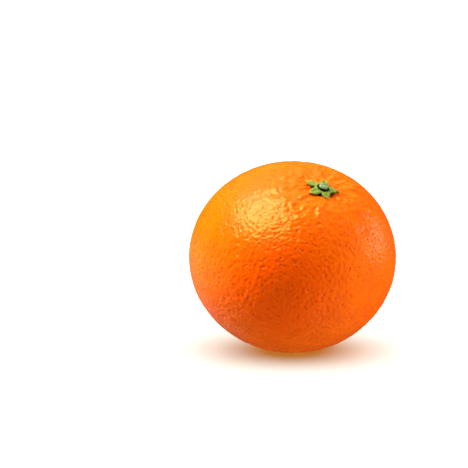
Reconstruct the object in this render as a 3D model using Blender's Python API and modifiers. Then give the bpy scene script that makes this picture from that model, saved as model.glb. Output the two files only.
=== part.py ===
"""An orange, as picked: the fruit, its dried calyx and the stump of its stalk.

Units are metres, +Z is up. The origin is the centre of the small flat spot that the
fruit rests on, and the stalk end leans over towards +X.
"""

import math

import bpy

# Driving dimensions
EQUATOR_RADIUS = 0.0375       # widest girth round the middle of the fruit
SETTLE = 0.925                # the fruit is broader than it is tall as it lies
LEAN = math.radians(34.3)     # from upright to the line from blossom end to stalk
FLAT_CUT = 0.0006             # depth of the flat spot, which makes it about 14 mm wide

STEM_HOLLOW_DEPTH = 0.0019    # the shallow hollow that the calyx sits in
STEM_HOLLOW_SPREAD = 0.30     # its spread, in radians round the fruit
BLOSSOM_HOLLOW_DEPTH = 0.0011  # the slight dent at the other end
BLOSSOM_HOLLOW_SPREAD = 0.22

TOUCH_GAP = 0.0003            # room left between pieces that touch

CALYX_THICKNESS = 0.0010
CALYX_WAIST = 0.0034          # radius of the notches between its lobes
CALYX_LOBES = (               # direction round the stalk in degrees, reach, narrowness
    (65.5, 0.0057, 22.0),
    (145.2, 0.0053, 9.0),
    (220.5, 0.0069, 50.0),
    (283.5, 0.0065, 18.0),
    (350.1, 0.0053, 18.0),
)

STALK_RADIUS = 0.0017
STALK_RISE = 0.0017           # how far the stump stands above the fruit
STALK_DOME = 0.0007           # how much of that is its rounded top

FRUIT_STEPS = 64
FRUIT_RINGS = 34
STALK_STEPS = 24
STALK_DOME_RINGS = 6
CALYX_OUTLINE_POINTS = 80
CALYX_HOLE_POINTS = 24


def fruit_height(angle):
    """Height along the stalk line of the skin at an angle from the stalk end."""
    stem_hollow = STEM_HOLLOW_DEPTH * math.exp(-((angle / STEM_HOLLOW_SPREAD) ** 2))
    from_blossom = (math.pi - angle) / BLOSSOM_HOLLOW_SPREAD
    blossom_hollow = BLOSSOM_HOLLOW_DEPTH * math.exp(-(from_blossom ** 2))
    return EQUATOR_RADIUS * math.cos(angle) - stem_hollow + blossom_hollow


def material(name, colour, roughness):
    made = bpy.data.materials.new(name)
    made.use_nodes = True
    made.diffuse_color = (*colour, 1.0)
    shader = made.node_tree.nodes["Principled BSDF"]
    shader.inputs["Base Color"].default_value = (*colour, 1.0)
    shader.inputs["Roughness"].default_value = roughness
    shader.inputs["Metallic"].default_value = 0.0
    return made


def turned(name, profile, steps, collection, finish):
    """A solid of revolution from an outline that runs from its top to its bottom."""
    mesh = bpy.data.meshes.new(name)
    points = [(radius, 0.0, height) for radius, height in profile]
    mesh.from_pydata(points, [(i, i + 1) for i in range(len(points) - 1)], [])
    mesh.materials.append(finish)
    piece = bpy.data.objects.new(name, mesh)
    collection.objects.link(piece)
    screw = piece.modifiers.new("turn", "SCREW")
    screw.axis = "Z"
    screw.angle = math.tau
    screw.steps = steps
    screw.render_steps = steps
    screw.use_merge_vertices = True
    screw.merge_threshold = 0.00001
    screw.use_smooth_shade = True
    return piece


def add_fruit(collection):
    """The whole fruit in its peel, one grown body."""
    profile = []
    for ring in range(FRUIT_RINGS + 1):
        angle = math.pi * ring / FRUIT_RINGS
        profile.append((EQUATOR_RADIUS * math.sin(angle), fruit_height(angle)))
    profile[-1] = (0.0, profile[-1][1])
    finish = material("orange_peel", (0.90, 0.19, 0.01), 0.38)
    return turned("fruit", profile, FRUIT_STEPS, collection, finish)


def cut_flat_spot(fruit, cutters):
    """The small flat spot, cut level with the ground plane."""
    block = 4 * EQUATOR_RADIUS
    bpy.ops.mesh.primitive_cube_add(size=block, location=(0.0, 0.0, -block / 2))
    ground = bpy.context.object
    ground.name = "ground_cutter"
    ground.hide_render = True
    ground.display_type = "WIRE"
    for collection in list(ground.users_collection):
        collection.objects.unlink(ground)
    cutters.objects.link(ground)
    cut = fruit.modifiers.new("flat spot", "BOOLEAN")
    cut.operation = "DIFFERENCE"
    cut.solver = "EXACT"
    cut.object = ground


def calyx_reach(angle):
    """Radius of the star-shaped calyx in one direction round the stalk."""
    reach = CALYX_WAIST
    for degrees, tip, narrowness in CALYX_LOBES:
        facing = math.cos(angle - math.radians(degrees))
        if facing > 0:
            reach += (tip - CALYX_WAIST) * facing ** narrowness
    return reach


def add_calyx(collection, seat):
    """Five dried sepals grown together into a star round the stalk."""
    hole_radius = STALK_RADIUS + TOUCH_GAP
    curve = bpy.data.curves.new("calyx", "CURVE")
    curve.dimensions = "2D"
    curve.fill_mode = "BOTH"
    curve.extrude = CALYX_THICKNESS / 2
    outlines = (
        (CALYX_OUTLINE_POINTS, calyx_reach),
        (CALYX_HOLE_POINTS, lambda angle: hole_radius),
    )
    for count, radius_at in outlines:
        spline = curve.splines.new("POLY")
        spline.points.add(count - 1)
        spline.use_cyclic_u = True
        for i, point in enumerate(spline.points):
            angle = math.tau * i / count
            radius = radius_at(angle)
            point.co = (radius * math.cos(angle), radius * math.sin(angle), 0.0, 1.0)
    curve.materials.append(material("dry_sepal", (0.30, 0.33, 0.08), 0.7))
    calyx = bpy.data.objects.new("calyx", curve)
    calyx.location.z = seat + CALYX_THICKNESS / 2
    collection.objects.link(calyx)
    return calyx


def add_stem_stub(collection, seat):
    """The stump that is left of the stalk, standing through the middle of the calyx."""
    shoulder = STALK_RISE - STALK_DOME
    profile = []
    for i in range(STALK_DOME_RINGS + 1):
        angle = math.pi / 2 * i / STALK_DOME_RINGS
        height = shoulder + STALK_DOME * math.cos(angle)
        profile.append((STALK_RADIUS * math.sin(angle), height))
    profile.append((STALK_RADIUS, 0.0))
    profile.append((0.0, 0.0))
    finish = material("stalk", (0.34, 0.38, 0.20), 0.75)
    stub = turned("stem_stub", profile, STALK_STEPS, collection, finish)
    stub.location.z = seat
    return stub


for old in list(bpy.data.objects):
    bpy.data.objects.remove(old, do_unlink=True)

parts = bpy.data.collections.new("orange")
cutters = bpy.data.collections.new("cutters")
bpy.context.scene.collection.children.link(parts)
bpy.context.scene.collection.children.link(cutters)

# The fruit is turned about its stalk line, tipped over, and then pressed broader than
# tall by an empty that everything hangs from.
settled = bpy.data.objects.new("settled", None)
settled.scale = (1.0, 1.0, SETTLE)
settled.location.z = SETTLE * EQUATOR_RADIUS - FLAT_CUT
parts.objects.link(settled)
stalk_line = bpy.data.objects.new("stalk_line", None)
stalk_line.rotation_euler.y = LEAN
stalk_line.parent = settled
parts.objects.link(stalk_line)

fruit = add_fruit(parts)
cut_flat_spot(fruit, cutters)
calyx_spread = max(reach for degrees, reach, narrowness in CALYX_LOBES) / EQUATOR_RADIUS
under_calyx = [fruit_height(calyx_spread * i / 10) for i in range(11)]
seat = max(under_calyx) + TOUCH_GAP
calyx = add_calyx(parts, seat)
stem_stub = add_stem_stub(parts, seat)
for piece in (fruit, calyx, stem_stub):
    piece.parent = stalk_line
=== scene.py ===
import math

import bpy
import numpy as np
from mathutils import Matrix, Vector


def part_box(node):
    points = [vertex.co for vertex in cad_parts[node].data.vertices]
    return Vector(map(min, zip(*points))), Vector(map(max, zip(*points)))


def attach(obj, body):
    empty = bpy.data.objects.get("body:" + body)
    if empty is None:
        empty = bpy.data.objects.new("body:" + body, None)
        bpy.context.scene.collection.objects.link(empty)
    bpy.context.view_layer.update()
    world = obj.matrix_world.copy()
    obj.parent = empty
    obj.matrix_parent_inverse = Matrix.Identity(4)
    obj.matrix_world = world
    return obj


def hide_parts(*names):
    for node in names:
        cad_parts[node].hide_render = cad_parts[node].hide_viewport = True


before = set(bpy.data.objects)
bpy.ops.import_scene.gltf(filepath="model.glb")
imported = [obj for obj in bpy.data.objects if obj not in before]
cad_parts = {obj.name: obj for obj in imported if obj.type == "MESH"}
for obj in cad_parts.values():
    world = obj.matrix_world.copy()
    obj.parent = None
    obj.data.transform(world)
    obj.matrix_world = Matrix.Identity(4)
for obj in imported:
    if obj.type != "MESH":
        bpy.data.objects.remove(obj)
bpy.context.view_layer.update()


# ---- The fruit -------------------------------------------------------------------
# One whole orange, grown as one body. Its peel is waxy and springy, pitted all over by
# oil glands, and drawn into pebbles and soft furrows round the stalk. As it lies it is
# tipped over, a little broader than tall, and pressed flat where it rests.

fruit_low, fruit_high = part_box("fruit")
GIRTH_RADIUS = (fruit_high.y - fruit_low.y) / 2
SETTLE = 0.925                          # height as a share of width, as it lies
LEAN = math.radians(34.3)               # of the stalk line, towards +X
FLAT_CUT = 0.0006                       # how much is pressed flat underneath
SKIN_ROOM = 0.00012                     # how far the skin stays inside its solid
STEM_HOLLOW = (0.0019, 0.30)            # depth, and spread in radians
BLOSSOM_HOLLOW = (0.0011, 0.22)
MM = 1000.0

skin_radius = GIRTH_RADIUS - SKIN_ROOM
centre_height = SETTLE * GIRTH_RADIUS - FLAT_CUT


class Strand:
    """One output of a node. Sums of strands add the Math nodes that work them out."""

    def __init__(self, tree, socket):
        self.tree = tree
        self.socket = socket

    def node(self, kind, settings=None, inputs=None, out=0):
        made = self.tree.nodes.new(kind)
        for name, value in (settings or {}).items():
            setattr(made, name, value)
        for name, value in (inputs or {}).items():
            if isinstance(value, Strand):
                self.tree.links.new(value.socket, made.inputs[name])
            else:
                made.inputs[name].default_value = value
        return Strand(self.tree, made.outputs[out])

    def maths(self, operation, *values, clamp=False):
        settings = {"operation": operation, "use_clamp": clamp}
        return self.node("ShaderNodeMath", settings, dict(enumerate(values)))

    def __add__(self, other):
        return self.maths("ADD", self, other)

    def __sub__(self, other):
        return self.maths("SUBTRACT", self, other)

    def __rsub__(self, other):
        return self.maths("SUBTRACT", other, self)

    def __mul__(self, other):
        return self.maths("MULTIPLY", self, other)

    def __truediv__(self, other):
        return self.maths("DIVIDE", self, other)

    def __pow__(self, other):
        return self.maths("POWER", self, other)

    __radd__ = __add__
    __rmul__ = __mul__

    def rise(self, low, high):
        """0 below low, 1 above high and a smooth step between. high may be below low."""
        settings = {"interpolation_type": "SMOOTHSTEP"}
        if low < high:
            limits = {"From Min": low, "From Max": high}
            return self.node("ShaderNodeMapRange", settings, {"Value": self, **limits})
        limits = {"From Min": high, "From Max": low, "To Min": 1.0, "To Max": 0.0}
        return self.node("ShaderNodeMapRange", settings, {"Value": self, **limits})

    def vector(self, operation, *values, out=0):
        settings = {"operation": operation}
        return self.node("ShaderNodeVectorMath", settings, dict(enumerate(values)), out)

    def scaled(self, factor):
        """A vector made longer or shorter."""
        settings = {"operation": "SCALE"}
        return self.node("ShaderNodeVectorMath", settings, {0: self, "Scale": factor})

    def parts(self):
        """The x, y and z of a vector."""
        split = self.tree.nodes.new("ShaderNodeSeparateXYZ")
        self.tree.links.new(self.socket, split.inputs[0])
        return [Strand(self.tree, socket) for socket in split.outputs]

    def noise(self, size, detail=2.0, roughness=0.5):
        """Cloudy noise from 0 to 1, with lumps of about this size."""
        inputs = {"Vector": self, "Scale": 1 / size, "Detail": detail}
        inputs["Roughness"] = roughness
        return self.node("ShaderNodeTexNoise", {}, inputs)

    def cells(self, size, feature="F1", randomness=1.0):
        """Distance from the middle of cells of about this size, in cell widths."""
        inputs = {"Vector": self, "Scale": 1 / size, "Randomness": randomness}
        return self.node("ShaderNodeTexVoronoi", {"feature": feature}, inputs, "Distance")

    def blend(self, first, second):
        """Mixes two colours, with this strand as the share of the second."""
        mixer = self.tree.nodes.new("ShaderNodeMix")
        mixer.data_type = "RGBA"
        self.tree.links.new(self.socket, mixer.inputs[0])
        for place, colour in ((6, first), (7, second)):
            if isinstance(colour, Strand):
                self.tree.links.new(colour.socket, mixer.inputs[place])
            else:
                mixer.inputs[place].default_value = (*colour, 1.0)
        return Strand(self.tree, mixer.outputs[2])


def round_stalk(place, off_axis, from_stalk, turns, reach):
    """Coordinates that stretch a pattern into rays running out from the stalk."""
    x, y, z = place.parts()
    rays = {"X": x / off_axis * turns, "Y": y / off_axis * turns, "Z": from_stalk * reach}
    return place.node("ShaderNodeCombineXYZ", {}, rays)


def peel_pattern(grown):
    """The peel from where each point grew, in metres.

    Gives its oil glands from 0 to 1, the scar at the blossom end from 0 to 1, the height of
    its finest detail and the height of the whole skin, both in millimetres.
    """
    place = grown.scaled(MM)
    x, y, z = place.parts()
    off_axis = (x * x + y * y + 0.01) ** 0.5
    from_stalk = place.vector("DISTANCE", place, (0.0, 0.0, GIRTH_RADIUS * MM), out="Value")
    from_scar = place.vector("DISTANCE", place, (0.0, 0.0, -GIRTH_RADIUS * MM), out="Value")
    near_stalk = from_stalk.rise(31.0, 11.0) * from_stalk.rise(1.5, 5.0)
    near_scar = from_scar.rise(9.0, 3.5)
    wobble = place.node("ShaderNodeTexNoise", {}, {"Vector": place, "Scale": 0.5}, "Color")
    wandering = place.vector("ADD", place, wobble.scaled(0.8))

    glands = wandering.cells(1.7).rise(0.36, 0.10)
    small_glands = wandering.cells(1.1).rise(0.34, 0.12)
    pebbles = 0.5 - wandering.cells(1.3)
    long_pebbles = 0.5 - round_stalk(place, off_axis, from_stalk, 6.0, 0.32).cells(1.0)
    creases = round_stalk(place, off_axis, from_stalk, 3.2, 0.14).noise(1.0, detail=1.0) - 0.5
    furrows = round_stalk(place, off_axis, from_stalk, 1.5, 0.05).noise(1.0, detail=1.0) - 0.5

    lumps = (place.noise(11.0) - 0.5) * 0.35 + (place.noise(4.5) - 0.5) * 0.18
    away = 1 - near_stalk
    fine = pebbles * 0.22 - glands * 0.17 * (0.4 + away * 0.6) - small_glands * 0.08
    fine = fine + near_stalk * long_pebbles * 0.55
    ragged = from_scar + (place.noise(1.4) - 0.5) * 1.6
    scar = ragged.rise(1.9, 1.2)
    scar_rim = ragged.rise(3.1, 2.2) * ragged.rise(1.3, 2.0)
    drawn = near_stalk * (furrows * 1.3 + creases * 0.9) + near_scar * creases * 0.5
    height = lumps + fine + drawn - scar_rim * 0.30 + scar * 0.12 - 0.24
    return glands, scar, fine, height


def hollow(angle, depth, spread):
    return depth * math.exp(-((angle / spread) ** 2))


def lay_down(piece):
    """Notes where each point grew, upright round the stalk line, then tips the piece over,
    settles it and lifts it to where it lies."""
    if "grown" not in piece.data.attributes:
        note_growth(piece)
    bpy.ops.object.select_all(action="DESELECT")
    piece.select_set(True)
    bpy.context.view_layer.objects.active = piece
    piece.rotation_euler.y = LEAN
    bpy.ops.object.transform_apply(location=False, rotation=True, scale=False)
    piece.scale.z = SETTLE
    piece.location.z = centre_height
    bpy.ops.object.transform_apply(location=True, rotation=True, scale=True)


def note_growth(piece):
    places = np.zeros(len(piece.data.vertices) * 3, np.float32)
    piece.data.vertices.foreach_get("co", places)
    grown = piece.data.attributes.new("grown", "FLOAT_VECTOR", "POINT")
    grown.data.foreach_set("vector", places)


def apply_all(piece):
    bpy.context.view_layer.objects.active = piece
    for modifier in list(piece.modifiers):
        bpy.ops.object.modifier_apply(modifier=modifier.name)


def raise_skin(piece, height_of, from_middle=False):
    """Moves the surface out by a pattern's height in millimetres, so that it is real relief."""
    tree = bpy.data.node_groups.new(piece.name + "_relief", "GeometryNodeTree")
    for direction in ("INPUT", "OUTPUT"):
        tree.interface.new_socket(
            "Geometry", in_out=direction, socket_type="NodeSocketGeometry"
        )
    skin = Strand(tree, tree.nodes.new("NodeGroupInput").outputs[0])
    grown = skin.node("GeometryNodeInputPosition")
    outwards = skin.node("GeometryNodeInputNormal")
    if from_middle:
        outwards = grown.vector("NORMALIZE", grown)
    offset = outwards.scaled(height_of(grown) / MM)
    raised = {"Geometry": skin, "Offset": offset}
    moved = skin.node("GeometryNodeSetPosition", {}, raised)
    end = tree.nodes.new("NodeGroupOutput")
    tree.links.new(moved.socket, end.inputs[0])
    relief = piece.modifiers.new("relief", "NODES")
    relief.node_group = tree
    apply_all(piece)


bpy.ops.object.select_all(action="DESELECT")
bpy.ops.mesh.primitive_cube_add(size=2 * skin_radius)
peel = bpy.context.object
peel.name = "orange_fruit"
finer = peel.modifiers.new("finer", "SUBSURF")
finer.levels = 7
finer.render_levels = 7
ball = peel.modifiers.new("ball", "CAST")
ball.factor = 1.0
ball.size = skin_radius
ball.use_radius_as_size = False
ball.radius = 0.0
apply_all(peel)
note_growth(peel)

raise_skin(peel, lambda grown: peel_pattern(grown)[3], from_middle=True)

for point in peel.data.vertices:
    height = point.co.z / point.co.length
    angle = math.acos(max(-1.0, min(1.0, height)))
    point.co.z -= hollow(angle, *STEM_HOLLOW)
    point.co.z += hollow(math.pi - angle, *BLOSSOM_HOLLOW)
lay_down(peel)

bpy.ops.object.mode_set(mode="EDIT")
bpy.ops.mesh.select_all(action="DESELECT")
bpy.ops.object.mode_set(mode="OBJECT")
for point in peel.data.vertices:
    point.select = point.co.z < 0
bpy.ops.object.mode_set(mode="EDIT")
bpy.ops.transform.resize(value=(1.0, 1.0, 0.0), center_override=(0.0, 0.0, 0.0))
bpy.ops.object.mode_set(mode="OBJECT")
bpy.ops.object.shade_smooth()

peel_finish = bpy.data.materials.new("orange_peel")
peel_finish.use_nodes = True
peel_tree = peel_finish.node_tree
peel_shader = peel_tree.nodes["Principled BSDF"]
start = peel_tree.nodes.new("ShaderNodeAttribute")
start.attribute_name = "grown"
grown = Strand(peel_tree, start.outputs["Vector"])
glands, scar, fine, height = peel_pattern(grown)
grown_mm = grown.scaled(MM)
mottle = grown_mm.noise(7.0, detail=3.0).rise(0.35, 0.68)
REDDEST_SPOT = (27.0, -22.5, 12.0)            # where the peel is reddest, in millimetres
speckle = grown_mm.noise(0.8, detail=2.0)
rind = mottle.blend((0.50, 0.064, 0.0002), (0.54, 0.074, 0.0003))
# The peel is blended redder round one spot on its lower front, facing the camera.
redder_spot = grown_mm.vector("DISTANCE", grown_mm, REDDEST_SPOT, out="Value").rise(30.0, 8.0)
rind = (redder_spot * 0.9).blend(rind, (0.62, 0.057, 0.0001))
# The oil glands are painted darker: partly their own deeper tone, partly painted shade in the
# pits.
rind = (glands * 0.70).blend(rind, (0.40, 0.022, 0.0002))
cork = speckle.rise(0.38, 0.62).blend((0.060, 0.022, 0.005), (0.200, 0.085, 0.020))
rind = (scar * 0.9).blend(rind, cork)
from_stalk = grown_mm.vector("DISTANCE", grown_mm, (0.0, 0.0, GIRTH_RADIUS * MM), out="Value")
# Painted shade: the peel round the stalk, under the calyx and in the clefts between its sepals,
# is blended near black.
painted_calyx_shade = from_stalk.rise(4.9, 3.9) * 0.85
rind = painted_calyx_shade.blend(rind, (0.020, 0.004, 0.0005))
peel_tree.links.new(rind.socket, peel_shader.inputs["Base Color"])
gloss = 0.19 + speckle * 0.08 + glands * 0.26 + scar * 0.25
peel_tree.links.new(gloss.socket, peel_shader.inputs["Roughness"])
pores = grown_mm.noise(0.45, detail=2.0) * 0.025 + fine * 0.32
bump = grown.node("ShaderNodeBump", {}, {"Height": pores, "Distance": 1 / MM, "Strength": 1.0})
peel_tree.links.new(bump.socket, peel_shader.inputs["Normal"])
peel_shader.inputs["IOR"].default_value = 1.42
peel_shader.inputs["Specular IOR Level"].default_value = 0.24
peel_shader.inputs["Specular Tint"].default_value = (1.0, 0.80, 0.13, 1.0)
peel_shader.inputs["Subsurface Weight"].default_value = 0.08
peel_shader.inputs["Subsurface Radius"].default_value = (1.0, 0.25, 0.08)
peel_shader.inputs["Subsurface Scale"].default_value = 0.0015
peel.data.materials.append(peel_finish)
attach(peel, "root")
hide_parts("fruit")


# ---- The calyx -------------------------------------------------------------------
# Five sepals left from the blossom, grown together into a leathery green star round the
# stalk. They have dried thick and a little curled, with pale edges, and sit in the hollow
# of the peel. Their undersides, the groove round the stalk and the peel in the clefts
# between them are painted dark as shade.

SEPALS = (       # direction in degrees, reach, width, foot, belly, blunt end, lift of the tip
    (65.5, 0.0060, 0.0031, 0.92, 0.34, 6, 0.0001),
    (145.2, 0.0056, 0.0040, 1.0, 0.10, 5, 0.0003),
    (220.5, 0.0071, 0.0030, 0.42, 0.85, 9, 0.0001),
    (283.5, 0.0066, 0.0032, 0.66, 0.74, 14, 0.0001),
    (350.1, 0.0055, 0.0030, 0.85, 0.50, 20, 0.0000),
)
SEPAL_THICKNESS = 0.00075
SEPAL_ROWS = 9
SEPAL_CLEARANCE = 0.00055       # how high the sepals stand off the peel
SEPAL_CUPPING = 0.00022
CALYX_RING = (0.0026, 0.00068)  # radius of the ring they grow from, and its thickness
stub_low, stub_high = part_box("stem_stub")
stub_radius = (stub_high.y - stub_low.y) / 2 + 0.00008
peel_top = skin_radius - STEM_HOLLOW[0] - 0.00018


def pick(piece, wanted):
    """Selects the points for which wanted(place) is true, ready to be edited."""
    bpy.ops.object.mode_set(mode="EDIT")
    bpy.ops.mesh.select_mode(type="VERT")
    bpy.ops.mesh.select_all(action="DESELECT")
    bpy.ops.object.mode_set(mode="OBJECT")
    for point in piece.data.vertices:
        point.select = wanted(point.co)
    bpy.ops.object.mode_set(mode="EDIT")


def grow_sepal(turn, reach, width, foot, belly, blunt, lift):
    """One sepal, broad or narrow waisted, from the stalk out to its tip."""
    inner = stub_radius + 0.0002
    bpy.ops.mesh.primitive_grid_add(x_subdivisions=SEPAL_ROWS, y_subdivisions=6, size=1)
    sepal = bpy.context.object
    sepal.scale = (reach - inner, width, 1.0)
    sepal.location = ((reach + inner) / 2, 0.0, peel_top + SEPAL_CLEARANCE)
    bpy.ops.object.transform_apply(location=True, rotation=True, scale=True)
    for row in range(SEPAL_ROWS + 1):
        along = row / SEPAL_ROWS
        place = inner + (reach - inner) * along
        share = foot * (1 - along) + belly * math.sin(math.pi * along)
        share = max(0.06, share * (1 - along ** blunt) ** 0.5)
        pick(sepal, lambda co: abs(co.x - place) < 0.00002)
        bpy.ops.transform.resize(value=(1, share, 1), center_override=(0, 0, 0))
        drop = SEPAL_CLEARANCE * along * 0.8 - lift * along ** 2
        bpy.ops.transform.translate(value=(0, 0, -drop))
        bpy.ops.object.mode_set(mode="OBJECT")
    pick(sepal, lambda co: abs(co.y) < 0.00002)
    bpy.ops.transform.translate(value=(0, 0, -SEPAL_CUPPING))
    bpy.ops.object.mode_set(mode="OBJECT")
    flesh = sepal.modifiers.new("flesh", "SOLIDIFY")
    flesh.thickness = SEPAL_THICKNESS
    flesh.offset = 1.0
    round_off = sepal.modifiers.new("round off", "SUBSURF")
    round_off.levels = 2
    round_off.render_levels = 2
    apply_all(sepal)
    sepal.rotation_euler.z = math.radians(turn)
    bpy.ops.object.transform_apply(location=True, rotation=True, scale=True)
    return sepal


bpy.ops.object.select_all(action="DESELECT")
sepals = [grow_sepal(*sepal) for sepal in SEPALS]
bpy.ops.mesh.primitive_torus_add(
    major_radius=CALYX_RING[0],
    minor_radius=CALYX_RING[1],
    major_segments=48,
    minor_segments=16,
    location=(0.0, 0.0, peel_top + 0.0006),
)
calyx = bpy.context.object
calyx.name = "calyx_star"
bpy.ops.mesh.primitive_cylinder_add(
    vertices=48, radius=CALYX_RING[0], depth=0.0005, location=(0.0, 0.0, peel_top + 0.0002)
)
sepals.append(bpy.context.object)
bpy.context.view_layer.objects.active = calyx
calyx.select_set(True)
bpy.ops.object.transform_apply(location=True, rotation=True, scale=True)
for sepal in sepals:
    sepal.select_set(True)
bpy.ops.object.join()
fuse = calyx.modifiers.new("fuse", "REMESH")
fuse.mode = "VOXEL"
fuse.voxel_size = 0.00010
soften = calyx.modifiers.new("soften", "SMOOTH")
soften.factor = 0.5
soften.iterations = 6
apply_all(calyx)
note_growth(calyx)


def sepal_pattern(grown):
    """Height of the dried sepals' wrinkles, in millimetres."""
    place = grown.scaled(MM)
    return (place.noise(0.9, detail=2.0) - 0.5) * 0.16


raise_skin(calyx, sepal_pattern)
lay_down(calyx)
bpy.ops.object.shade_smooth()

sepal_finish = bpy.data.materials.new("dry_sepal")
sepal_finish.use_nodes = True
sepal_tree = sepal_finish.node_tree
sepal_shader = sepal_tree.nodes["Principled BSDF"]
start = sepal_tree.nodes.new("ShaderNodeAttribute")
start.attribute_name = "grown"
grown_mm = Strand(sepal_tree, start.outputs["Vector"]).scaled(MM)
x, y, z = grown_mm.parts()
from_axis = (x * x + y * y) ** 0.5
DEAD_TIP = (2.4, 5.2, peel_top * MM + 0.5)     # where the withered tip is, in millimetres
patches = grown_mm.noise(1.1, detail=2.0).rise(0.38, 0.62)
tips = from_axis.rise(4.2, 6.4)
green = patches.blend((0.056, 0.094, 0.0030), (0.105, 0.142, 0.0070))
green = (tips * 0.7).blend(green, (0.20, 0.140, 0.009))
dead_tip = grown_mm.vector("DISTANCE", grown_mm, DEAD_TIP, out="Value").rise(1.5, 0.6)
green = (dead_tip * 0.9).blend(green, (0.030, 0.018, 0.003))
# Painted shade: the groove round the stalk stump is blended almost black.
inside = from_axis.rise(2.45, 2.05)
green = (inside * 0.95).blend(green, (0.006, 0.010, 0.002))
# Painted shade: the sepals are blended almost black low down, near the peel.
painted_underside_shade = z.rise(peel_top * MM + 0.75, peel_top * MM + 0.30)
green = (painted_underside_shade * 0.95).blend(green, (0.008, 0.008, 0.002))
sepal_tree.links.new(green.socket, sepal_shader.inputs["Base Color"])
dryness = 0.55 + patches * 0.15
sepal_tree.links.new(dryness.socket, sepal_shader.inputs["Roughness"])
grain = grown_mm.noise(0.25, detail=2.0) * 0.05
bump = grown_mm.node("ShaderNodeBump", {}, {"Height": grain, "Distance": 1 / MM})
sepal_tree.links.new(bump.socket, sepal_shader.inputs["Normal"])
sepal_shader.inputs["Specular IOR Level"].default_value = 0.15
calyx.data.materials.append(sepal_finish)
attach(calyx, "root")
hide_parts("calyx")


# ---- The stalk stump -------------------------------------------------------------
# What is left of the woody stalk where the fruit came away: a short round stump with a
# rolled rim, a sunken scar and a knob of pith in its middle, pale and dusty on top. Its
# sides and a crescent in the scar are painted dark as shade.

STUMP_RISE = 0.00245           # above the peel in the hollow
STUMP_ROOT = 0.0012             # how deep it is rooted below that
bpy.ops.object.select_all(action="DESELECT")
bpy.ops.mesh.primitive_cylinder_add(
    vertices=32,
    radius=stub_radius,
    depth=STUMP_RISE + STUMP_ROOT,
    location=(0.0, 0.0, peel_top + (STUMP_RISE - STUMP_ROOT) / 2),
)
stump = bpy.context.object
stump.name = "stalk_stump"
bpy.ops.object.transform_apply(location=True, rotation=True, scale=True)
top_height = peel_top + STUMP_RISE
pick(stump, lambda co: co.z > top_height - 0.00002)
bpy.ops.transform.resize(value=(0.86, 0.86, 1.0), center_override=(0.0, 0.0, top_height))
bpy.ops.transform.translate(value=(-0.00014, -0.00024, 0.0))
bpy.ops.mesh.bevel(offset=0.0005, segments=4, affect="EDGES")
bpy.ops.object.mode_set(mode="OBJECT")
pick(stump, lambda co: co.z > top_height - 0.00002)
bpy.ops.mesh.select_mode(type="FACE")
bpy.ops.mesh.inset(thickness=0.00025)
bpy.ops.transform.translate(value=(0, 0, -0.00022))
bpy.ops.mesh.inset(thickness=0.00032)
bpy.ops.transform.translate(value=(0, 0, 0.0003))
bpy.ops.mesh.inset(thickness=0.00022)
bpy.ops.transform.translate(value=(0, 0, 0.00008))
bpy.ops.mesh.select_mode(type="VERT")
bpy.ops.object.mode_set(mode="OBJECT")
even = stump.modifiers.new("even", "REMESH")
even.mode = "VOXEL"
even.voxel_size = 0.00008
soften = stump.modifiers.new("soften", "SMOOTH")
soften.factor = 0.5
soften.iterations = 4
apply_all(stump)
note_growth(stump)


def stump_pattern(grown):
    """Height of the stump's knobs and cracks, in millimetres."""
    place = grown.scaled(MM)
    return (place.noise(1.0, detail=2.0) - 0.5) * 0.22


raise_skin(stump, stump_pattern)
lay_down(stump)
bpy.ops.object.shade_smooth()

stalk_finish = bpy.data.materials.new("stalk")
stalk_finish.use_nodes = True
stalk_tree = stalk_finish.node_tree
stalk_shader = stalk_tree.nodes["Principled BSDF"]
start = stalk_tree.nodes.new("ShaderNodeAttribute")
start.attribute_name = "grown"
grown_mm = Strand(stalk_tree, start.outputs["Vector"]).scaled(MM)
x, y, z = grown_mm.parts()
from_axis = (x * x + y * y) ** 0.5
dust = grown_mm.noise(0.7, detail=3.0).rise(0.35, 0.65)
pale = dust.blend((0.070, 0.110, 0.032), (0.150, 0.200, 0.075))
# Painted shade: a dark crescent on one side of the ring round the pith, in the sunken scar.
ring = from_axis.rise(0.60, 0.80) * from_axis.rise(1.15, 0.95)
painted_scar_shade = ring * (y * 0.5 - x * 0.87).rise(-0.1, 0.5)
pale = (painted_scar_shade * 0.95).blend(pale, (0.010, 0.016, 0.005))
# Painted shade: the stump is blended dark green down its sides towards the peel.
above_side_shade = z.rise(top_height * MM - 0.85, top_height * MM - 0.35)
wood = above_side_shade.blend((0.006, 0.012, 0.002), pale)
stalk_tree.links.new(wood.socket, stalk_shader.inputs["Base Color"])
dryness = 0.6 + dust * 0.2
stalk_tree.links.new(dryness.socket, stalk_shader.inputs["Roughness"])
grain = grown_mm.noise(0.2, detail=2.0) * 0.05
bump = grown_mm.node("ShaderNodeBump", {}, {"Height": grain, "Distance": 1 / MM})
stalk_tree.links.new(bump.socket, stalk_shader.inputs["Normal"])
stalk_shader.inputs["Specular IOR Level"].default_value = 0.2
stump.data.materials.append(stalk_finish)
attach(stump, "root")
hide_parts("stem_stub")

pieces = [peel, calyx, stump]


# ---- The ground, light and camera ---------------------------------------------------
# A pale level floor with a faint painted warm glow, one broad soft light from above on the
# left, a softer one from the left, a narrow one from behind on the right, and pale
# surroundings.

bpy.ops.object.select_all(action="DESELECT")
bpy.ops.mesh.primitive_plane_add(size=6.0)
floor = bpy.context.object
floor.name = "floor"
floor_finish = bpy.data.materials.new("pale_floor_painted_glow")
floor_finish.use_nodes = True
floor_shader = floor_finish.node_tree.nodes["Principled BSDF"]
floor_shader.inputs["Base Color"].default_value = (0.58, 0.58, 0.58, 1.0)
floor_shader.inputs["Roughness"].default_value = 0.9
floor_shader.inputs["Specular IOR Level"].default_value = 0.0
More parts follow.
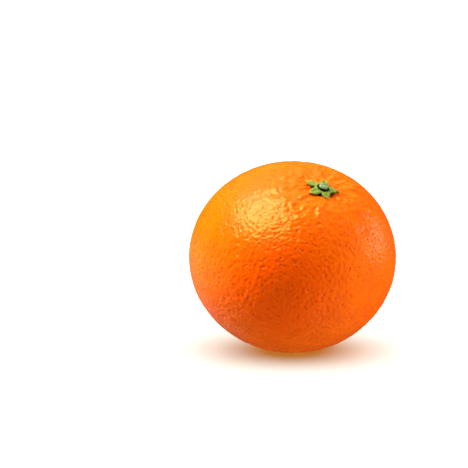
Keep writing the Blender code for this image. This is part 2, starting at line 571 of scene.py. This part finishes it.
# Painted glow: the floor gives off a faint warm light of its own, which shows only in its
# shadow, standing in for light thrown off the orange.
floor_shader.inputs["Emission Color"].default_value = (0.10, 0.105, 0.015, 1.0)
floor_shader.inputs["Emission Strength"].default_value = 1.0
floor.data.materials.append(floor_finish)
floor.visible_diffuse = False
floor.visible_glossy = False

AZIMUTH = math.radians(59.6)
ELEVATION = math.radians(10.0)
DISTANCE = 0.934
ASIDE = 0.0210                          # how far the fruit stands right of the middle
BELOW = 0.0082                          # and below it

towards = Vector((
    math.sin(AZIMUTH) * math.cos(ELEVATION),
    -math.cos(AZIMUTH) * math.cos(ELEVATION),
    math.sin(ELEVATION),
))
rightwards = Vector((math.cos(AZIMUTH), math.sin(AZIMUTH), 0.0))
upwards = towards.cross(rightwards)
camera_data = bpy.data.cameras.new("camera")
camera_data.lens = 200.0
camera_data.clip_start = 0.01
camera = bpy.data.objects.new("camera", camera_data)
middle = Vector((0.0, 0.0, centre_height))
camera.location = middle + towards * DISTANCE - rightwards * ASIDE + upwards * BELOW
camera.rotation_euler = towards.to_track_quat("Z", "Y").to_euler()
bpy.context.scene.collection.objects.link(camera)
bpy.context.scene.camera = camera

lit_by = {}
for name, lit_pieces in (("orange", pieces), ("ground", [floor])):
    lit_by[name] = bpy.data.collections.new(name)
    for piece in lit_pieces:
        lit_by[name].objects.link(piece)

LIGHTS = (     # name, right, up, towards the camera, power, spread, seen as, lights
    ("key", -0.69, 0.72, 0.04, 15.0, 32.0, "shade", "orange"),
    ("crown", -0.10, 0.85, -0.50, 5.6, 60.0, "shade", "orange"),
    ("front", -0.20, 0.70, 0.68, 1.1, 90.0, "shade", "orange"),
    ("side", 0.92, 0.37, 0.05, 5.6, 60.0, "shade", "orange"),
    ("left_edge", -0.80, -0.30, -0.40, 3.6, 60.0, "shade", "orange"),
    ("right_edge", 0.85, -0.50, 0.10, 3.3, 90.0, "shade", "orange"),
    ("bounce", 0.0, -0.97, 0.22, 2.0, 120.0, "shade", "orange"),
    ("window", -0.42, 0.83, 0.37, 16.0, 50.0, "gloss", "orange"),
    ("rim", 0.93, 0.25, -0.28, 0.8, 28.0, "gloss", "orange"),
    ("haze", -0.60, -0.29, -0.74, 0.2, 50.0, "gloss", "orange"),
    ("wash", 0.0, 1.0, 0.19, 7.8, 130.0, "both", "ground"),
)
for name, right, up, near, power, spread, seen_as, lit in LIGHTS:
    lamp = bpy.data.lights.new(name, "SUN")
    lamp.energy = power
    lamp.angle = math.radians(spread)
    source = bpy.data.objects.new(name, lamp)
    beam = rightwards * right + upwards * up + towards * near
    source.rotation_euler = beam.to_track_quat("Z", "Y").to_euler()
    source.visible_glossy = seen_as != "shade"
    source.visible_diffuse = seen_as != "gloss"
    source.light_linking.receiver_collection = lit_by[lit]
    source.light_linking.blocker_collection = lit_by["orange"]
    bpy.context.scene.collection.objects.link(source)

world = bpy.data.worlds.new("studio")
world.use_nodes = True
world_tree = world.node_tree
backdrop = world_tree.nodes["Background"]
backdrop.inputs["Color"].default_value = (1.0, 1.0, 1.0, 1.0)
rays = Strand(world_tree, world_tree.nodes.new("ShaderNodeLightPath").outputs["Is Camera Ray"])
brightness = 0.03 + rays * 1.03
world_tree.links.new(brightness.socket, backdrop.inputs["Strength"])
bpy.context.scene.world = world
bpy.context.scene.view_settings.view_transform = "Standard"
